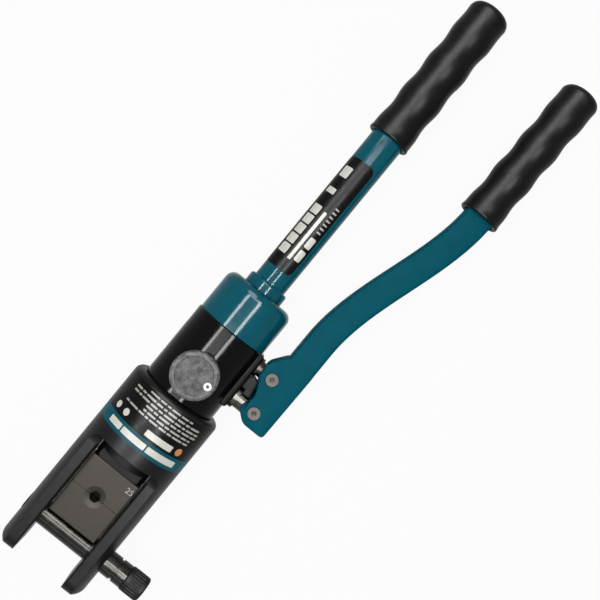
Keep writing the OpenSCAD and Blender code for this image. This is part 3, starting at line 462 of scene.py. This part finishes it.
def coat_boss_and_nest():
    """A matt coat on the pump body's boss, out beyond its round wall, and the nest's walls painted
    near black as painted shade.
    """
    wall = -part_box("pump_body")[0].x / MM
    matt = enamel("black_matt", BLACK, 0.5, gloss=0.06, edge_tone=2.0)
    recoat("pump_body", (1, 0, 1), "GREATER_THAN", wall + BOSS_MARGIN, matt)
    # Painted shade: the nest's bore is darkened so that the hole reads as a shaded recess.
    nest_shade = metal("nest_painted_shade", shade(DIE, 0.2), 0.7, TURNED_Z, metallic=0.1, gloss=0.02)
    for die in ("lower_die", "upper_die"):
        recoat(die, (1, 1, 0), "LESS_THAN", NEST_CORNER, nest_shade)


def smooth_lever():
    """Shades the lever's swept facets as the one smooth surface that they stand for."""
    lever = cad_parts["lever"]
    lever.modifiers.new("weld", "WELD").merge_threshold = LEVER_WELD * MM
    lever.modifiers.new("smooth", "NODES").node_group = smooth_group(LEVER_SHARP)


def new_piece(name, points, faces, materials, body):
    """A mesh piece from points in mm, riding on a CAD body."""
    mesh = bpy.data.meshes.new(name)
    mesh.from_pydata([Vector(p) * MM for p in points], [], faces)
    for material in materials:
        mesh.materials.append(material)
    for face in mesh.polygons:
        face.use_smooth = True
    piece = bpy.data.objects.new(name, mesh)
    bpy.context.scene.collection.objects.link(piece)
    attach(piece, body)
    return piece


def grip_profile(diameter, length):
    """Points (height, radius) of a grip from inside its mouth, over the lip, to the dome's tip."""
    r = diameter / 2
    shoulder = length - CORNER - CROWN

    def wavy(z):
        fade = min(1, (length - z) / WAVE_PITCH)
        turn = 2 * math.pi * max(0, z - WAVE_START) / WAVE_PITCH
        return r - WAVE_DEPTH * fade * (1 - math.cos(turn)) / 2

    lip = [(LIP[0][0], 0)] + [(z, r + out) for z, out in LIP]
    heights = [BODY_FROM + (shoulder - BODY_FROM) * i / BODY_STEPS for i in range(BODY_STEPS + 1)]
    body = [(z, wavy(z)) for z in heights]
    end_r = body[-1][1]
    tip = []
    for i in range(1, CORNER_STEPS + 1):
        a = math.radians(CORNER_STEP_DEGREES * i)
        tip.append((shoulder + CORNER * math.sin(a), end_r - CORNER * (1 - math.cos(a))))
    rim_z, rim_r = tip[-1]
    for i in range(1, CROWN_STEPS + 1):
        share = 1 - i / CROWN_STEPS
        tip.append((rim_z + CROWN * (1 - share ** 2), rim_r * share))
    return lip + body + tip


def seam(angle):
    """How far below the mould's parting line the skin lies, in mm.

    The line runs along both sides of a grip.
    """
    off = min(abs(math.remainder(angle - side, 2 * math.pi)) for side in (0, math.pi))
    return SEAM * (1 - math.exp(-((off / math.radians(SEAM_SPREAD)) ** 2)))


def make_grip(name, node, body, mouth, tilt, diameter, length, rubber):
    """A dipped rubber grip with finger waves, standing for a CAD grip."""
    along_y = Matrix.Rotation(-math.pi / 2, 4, "X")
    tilted = Matrix.Rotation(math.radians(tilt), 4, "Z")
    placing = Matrix.Translation(Vector(mouth)) @ tilted @ along_y
    points, faces = [], []
    profile = grip_profile(diameter, length)
    for z, r in profile:
        for k in range(GRIP_SIDES):
            a = 2 * math.pi * k / GRIP_SIDES
            skin = r - seam(a) if SEAM_FROM < z < length - SEAM_STOP else r
            points.append(placing @ Vector((skin * math.cos(a), skin * math.sin(a), z)))
    for i in range(len(profile) - 1):
        for k in range(GRIP_SIDES):
            a, b = i * GRIP_SIDES + k, i * GRIP_SIDES + (k + 1) % GRIP_SIDES
            faces.append((a, b, b + GRIP_SIDES, a + GRIP_SIDES))
    piece = new_piece(name, points, faces, [rubber], body)
    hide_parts(node)


def wrap_marks(name, radius, marks, inks, body):
    """Plain printed shapes on a cylinder about Y.

    A mark is (across, along, width, height, round, layer, ink): its centre as arc length from the
    front line and as Y, its size, how round its ends are from 0 to 1, its layer and its ink.
    """
    points, faces, numbers = [], [], []
    for across, along, width, height, ends, layer, ink in marks:
        first = len(points)
        r = radius + DECAL_LIFT * layer
        for i in range(DECAL_COLUMNS + 1):
            u = -math.cos(math.pi * i / DECAL_COLUMNS)
            corner = max(0.0, abs(u) * width / 2 - (width - height * ends) / 2)
            half = height / 2
            if ends:
                reach = height * ends / 2
                half += math.sqrt(max(0.0, reach ** 2 - corner ** 2)) - reach
            a = (across + u * width / 2) / radius
            for v in (along - half, along + half):
                points.append((r * math.sin(a), v, r * math.cos(a)))
        for i in range(DECAL_COLUMNS):
            p = first + 2 * i
            faces.append((p, p + 2, p + 3, p + 1))
            numbers.append(list(inks).index(ink))
    piece = new_piece(name, points, faces, inks.values(), body)
    for face, number in zip(piece.data.polygons, numbers):
        face.material_index = number


def dashes(start, stop, along, height, ink):
    """A line of plain dashes of uneven length around a cylinder, from arc length start to stop."""
    marks, turn = [], round(along)
    while start < stop - DASH_ROOM:
        width = min(DASH_LENGTHS[turn % len(DASH_LENGTHS)], stop - start)
        marks.append((start + width / 2, along, width, height, 0.5, ON_FILM, ink))
        start += width + DASH_GAP
        turn += 1
    return marks


def make_decals():
    """The label places on the collar and the handle tube."""
    pale = printed("pale_ink", PALE)
    grey = printed("grey_ink", GREY_INK)
    band = printed("teal_ink", shade(TEAL, 0.85), roughness=0.4, gloss=0.06)
    orange = printed("orange_ink", ORANGE)
    film = printed("black_film", BLACK, roughness=0.3, gloss=0.06)
    make_collar_label({"pale": pale, "band": band, "orange": orange, "grey": grey, "film": film})
    make_tube_label({"pale": pale, "film": film, "grey": grey})


def make_collar_label(inks):
    """A film with rows of dashes, dots and a bar, over a band with three bars."""
    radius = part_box("fork_head")[1].x / MM
    degree = math.pi / 180 * radius
    # Rows: the angles at which they start and stop, their Y and their height
    rows = ((-26, 34, 74.4, 1.0), (-46, 51, 71.6, 1.2), (-46, 51, 68.9, 1.2),
            (-46, 51, 61.2, 1.2), (-20, 51, 66.4, 1.2), (-20, 51, 63.7, 1.2))
    marks = [(0, 59.2, 150 * degree, 33.4, 0, ON_METAL, "film")]
    for start, stop, along, height in rows:
        marks += dashes(start * degree, stop * degree, along, height, "grey")
    for angle in (-50, -34):
        marks.append((angle * degree, 55.4, 4.6, 4.6, 1, ON_FILM, "pale"))
    marks.append((16 * degree, 54.6, 36 * degree, 4, 0.3, ON_FILM, "pale"))
    marks.append((44 * degree, 55.2, 5, 5, 1, ON_FILM, "orange"))
    marks.append((0, 46.75, 160 * degree, 8.5, 0, ON_FILM, "band"))
    for angle, width in ((-37, 20), (-8.5, 33), (30.5, 41)):
        marks.append((angle * degree, 46.8, width * degree, 4, 0.3, ON_BAND, "pale"))
    wrap_marks("collar_label", radius, marks, inks, "frame")


def make_tube_label(inks):
    """A film with a row of blocks, a pale stripe that is a painted reflection, and short dashes over
    two more blocks.
    """
    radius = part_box("handle_tube")[1].x / MM
    # The row of blocks: their Y and their height
    row = ((248.7, 7.6), (234.5, 4), (219.8, 6.4), (212.3, 6.4), (204.8, 6.4), (197.3, 6.4),
           (189.8, 6.4))
    marks = [(-4.9, 218.4, 24.2, 82.8, 0.1, ON_METAL, "film")]
    for along, height in row:
        marks.append((-8.4, along, 7, height, 0.25, ON_FILM, "pale"))
    # Painted reflection: a pale stripe where a lamp's highlight runs along the glossy film.
    marks.append((-1.1, 203.5, 2.1, 35.8, 0.03, ON_FILM, "pale"))
    for along in (227, 224, 221, 218, 215, 212, 209):
        marks.append((3.5, along, 2.9, 1.1, 0.5, ON_FILM, "grey"))
    for along in (200.8, 191):
        marks.append((3.5, along, 4.2, 7.6, 0.25, ON_FILM, "pale"))
    wrap_marks("tube_label", radius, marks, inks, "frame")


def make_die_number():
    """A plain size number printed on the upper die's front face."""
    words = bpy.data.curves.new("die_number", "FONT")
    words.body = "25"
    words.size = NUMBER_SIZE * MM
    words.align_x = "CENTER"
    words.align_y = "CENTER"
    words.extrude = NUMBER_RISE * MM
    maker = bpy.data.objects.new("die_number_text", words)
    face_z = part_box("upper_die")[1].z
    maker.matrix_world = Matrix.Translation((NUMBER_AT[0] * MM, NUMBER_AT[1] * MM, face_z))
    bpy.context.scene.collection.objects.link(maker)
    bpy.context.view_layer.update()
    shaped = maker.evaluated_get(bpy.context.evaluated_depsgraph_get())
    mesh = bpy.data.meshes.new_from_object(shaped)
    mesh.transform(maker.matrix_world)
    mesh.materials.clear()
    mesh.materials.append(printed("number_ink", NUMBER_INK))
    bpy.data.objects.remove(maker)
    number = bpy.data.objects.new("die_number", mesh)
    bpy.context.scene.collection.objects.link(number)
    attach(number, "ram")


def ray_share(tree):
    """1 for the rays to which the background is white, 0 for the others."""
    path = tree.nodes.new("ShaderNodeLightPath")
    total = path.outputs[SEEN_RAYS[0]]
    for kind in SEEN_RAYS[1:]:
        add = tree.nodes.new("ShaderNodeMath")
        add.operation = "MAXIMUM"
        tree.links.new(total, add.inputs[0])
        tree.links.new(path.outputs[kind], add.inputs[1])
        total = add.outputs[0]
    return total


def make_floor():
    """A pale floor that reads white and keeps a trace of the tool's shadow."""
    half = FLOOR_HALF
    z = cad_box[0][2] - FLOOR_DROP * MM
    corners = [(-half, -half, z), (half, -half, z), (half, half, z), (-half, half, z)]
    mesh = bpy.data.meshes.new("floor")
    mesh.from_pydata(corners, [], [(0, 1, 2, 3)])
    floor = bpy.data.objects.new("floor", mesh)
    bpy.context.scene.collection.objects.link(floor)
    g = Graph("pale_floor")
    g.set(Base_Color=(0.75, 0.75, 0.75, 1), Roughness=0.9, Specular_IOR_Level=0.0)
    glow = g.add("ShaderNodeEmission", {"Color": (1, 1, 1, 1), "Strength": 1.0})
    white = g.times(ray_share(g.tree), FLOOR_WHITE)
    mixed = {0: white, 1: g.shader.outputs[0], 2: glow.outputs[0]}
    blend = g.add("ShaderNodeMixShader", mixed)
    g.tree.links.new(blend.outputs[0], g.tree.nodes["Material Output"].inputs["Surface"])
    mesh.materials.append(g.material)


def make_world():
    """Grey surroundings that look plain white to the camera and in mirrors."""
    world = bpy.data.worlds.new("studio")
    world.use_nodes = True
    bpy.context.scene.world = world
    tree = world.node_tree
    back = tree.nodes["Background"]
    back.inputs["Color"].default_value = (1, 1, 1, 1)
    blend = tree.nodes.new("ShaderNodeMix")
    tree.links.new(ray_share(tree), blend.inputs[0])
    blend.inputs[2].default_value = AMBIENT
    blend.inputs[3].default_value = 1.0
    tree.links.new(blend.outputs[0], back.inputs["Strength"])


def area_light(name, at, size, radiance, lights, mirrored):
    """A flat lamp facing straight down that lights matt surfaces, shows in glossy ones, or both."""
    lamp = bpy.data.lights.new(name, "AREA")
    lamp.shape = "RECTANGLE"
    lamp.size, lamp.size_y = size
    lamp.energy = radiance * math.pi * size[0] * size[1]
    holder = bpy.data.objects.new(name, lamp)
    holder.location = at
    holder.visible_diffuse = lights
    holder.visible_glossy = mirrored
    bpy.context.scene.collection.objects.link(holder)


def make_camera():
    """The photograph's own view."""
    forward = (CAMERA_AIM - CAMERA_AT).normalized()
    right = forward.cross(CAMERA_UP).normalized()
    up = right.cross(forward)
    lens = bpy.data.cameras.new("camera")
    lens.lens = LENS_MM
    lens.sensor_width = SENSOR_MM
    camera = bpy.data.objects.new("camera", lens)
    camera.matrix_world = Matrix((
        (right.x, up.x, -forward.x, CAMERA_AT.x),
        (right.y, up.y, -forward.y, CAMERA_AT.y),
        (right.z, up.z, -forward.z, CAMERA_AT.z),
        (0, 0, 0, 1)))
    bpy.context.scene.collection.objects.link(camera)
    bpy.context.scene.camera = camera


bpy.context.scene.view_settings.view_transform = "Standard"
paint_nodes()
coat_boss_and_nest()
smooth_lever()
rubber = moulded("grip_rubber", RUBBER, 0.36, cell=0.5, depth=0.02, gloss=0.075)
for grip in GRIPS:
    make_grip(*grip, rubber)
make_decals()
make_die_number()
make_floor()
make_world()
for lamp in LAMPS:
    area_light(*lamp)
make_camera()
